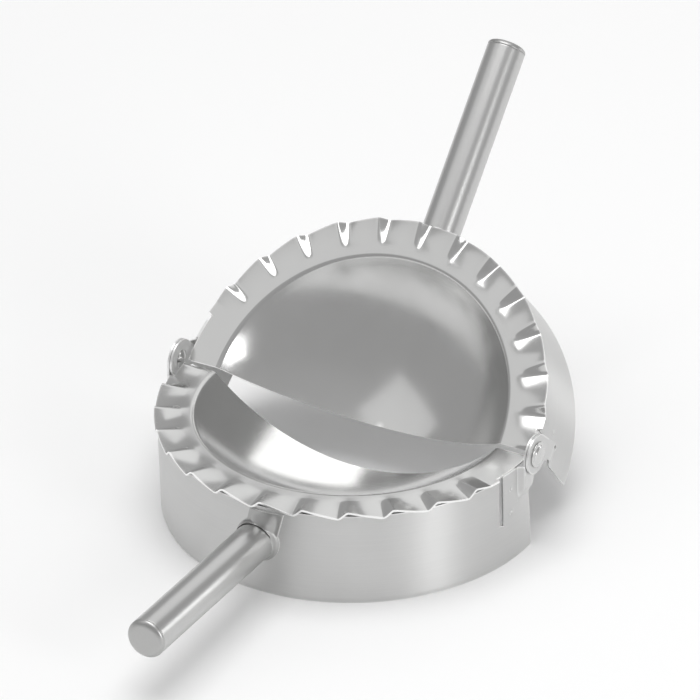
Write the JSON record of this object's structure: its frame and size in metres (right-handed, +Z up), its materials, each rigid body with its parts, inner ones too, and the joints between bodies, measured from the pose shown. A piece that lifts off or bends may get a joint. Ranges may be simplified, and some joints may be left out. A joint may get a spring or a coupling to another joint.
{
  "type": "empanada press",
  "caption": "Folding crimping press: toothed half dishes in half-round cutting skirts with tube handles, hinged on riveted ears so that they close on a filled dough round and crimp its edge.",
  "frame": {"origin": "centre of the bounding box on the table plane under the lower skirt's cutting edge", "axes": "+X along the hinge, +Y from the lower half's handle towards the raised half, +Z up from the table"},
  "size_m": [0.1574, 0.2842, 0.1381],
  "materials": {
    "dish_steel": "bright pressed stainless steel",
    "skirt_steel": "satin stainless steel sheet",
    "neck_steel": "pressed and welded stainless steel",
    "handle_steel": "fine brushed stainless steel tube",
    "rivet_steel": "polished rivet head"
  },
  "bodies": {
    "front_half": {"front_dish": "dish_steel", "front_skirt": "skirt_steel", "front_neck": "neck_steel", "front_handle_tube": "handle_steel", "front_end_cap": "handle_steel", "left_rivet": "rivet_steel", "right_rivet": "rivet_steel"},
    "back_half": {"back_dish": "dish_steel", "back_skirt": "skirt_steel", "back_neck": "neck_steel", "back_handle_tube": "handle_steel", "back_end_cap": "handle_steel"}
  },
  "joints": [
    {"name": "fold", "type": "hinge", "parent": "front_half", "child": "back_half", "pos_m": [0, 0.01307, 0.04015], "axis": [1, 0, 0], "range_deg": [-42, 138]}
  ]
}
